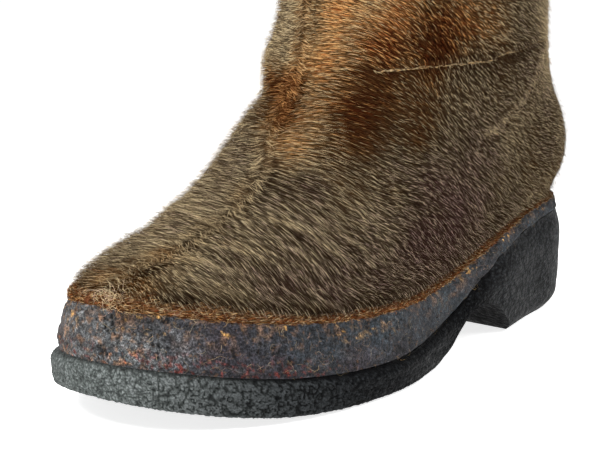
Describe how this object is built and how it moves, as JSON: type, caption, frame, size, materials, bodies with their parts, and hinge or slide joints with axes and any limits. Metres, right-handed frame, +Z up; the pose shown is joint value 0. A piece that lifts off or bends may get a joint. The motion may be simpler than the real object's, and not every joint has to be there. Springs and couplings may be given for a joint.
{
  "type": "reindeer fur boot",
  "caption": "Left fur boot: hollow fur upper with vamp and shaft on a thick felt midsole and a moulded rubber sole with toe spring, tunnel arch and heel, with a loose felt insole.",
  "frame": {"origin": "on the floor, under the middle of the boot's bounding box", "axes": "+X towards the toe, +Y towards the boot's left, which is its outer side, +Z up"},
  "size_m": [0.3, 0.115, 0.2883],
  "materials": {
    "rubber": "matte pebbled",
    "felt": "matted pressed felt",
    "insole_felt": "soft felt",
    "fur": "short dense fur"
  },
  "bodies": {
    "root": {"rubber_sole": "rubber", "felt_midsole": "felt", "insole": "insole_felt", "fur_upper": "fur"}
  },
  "joints": []
}
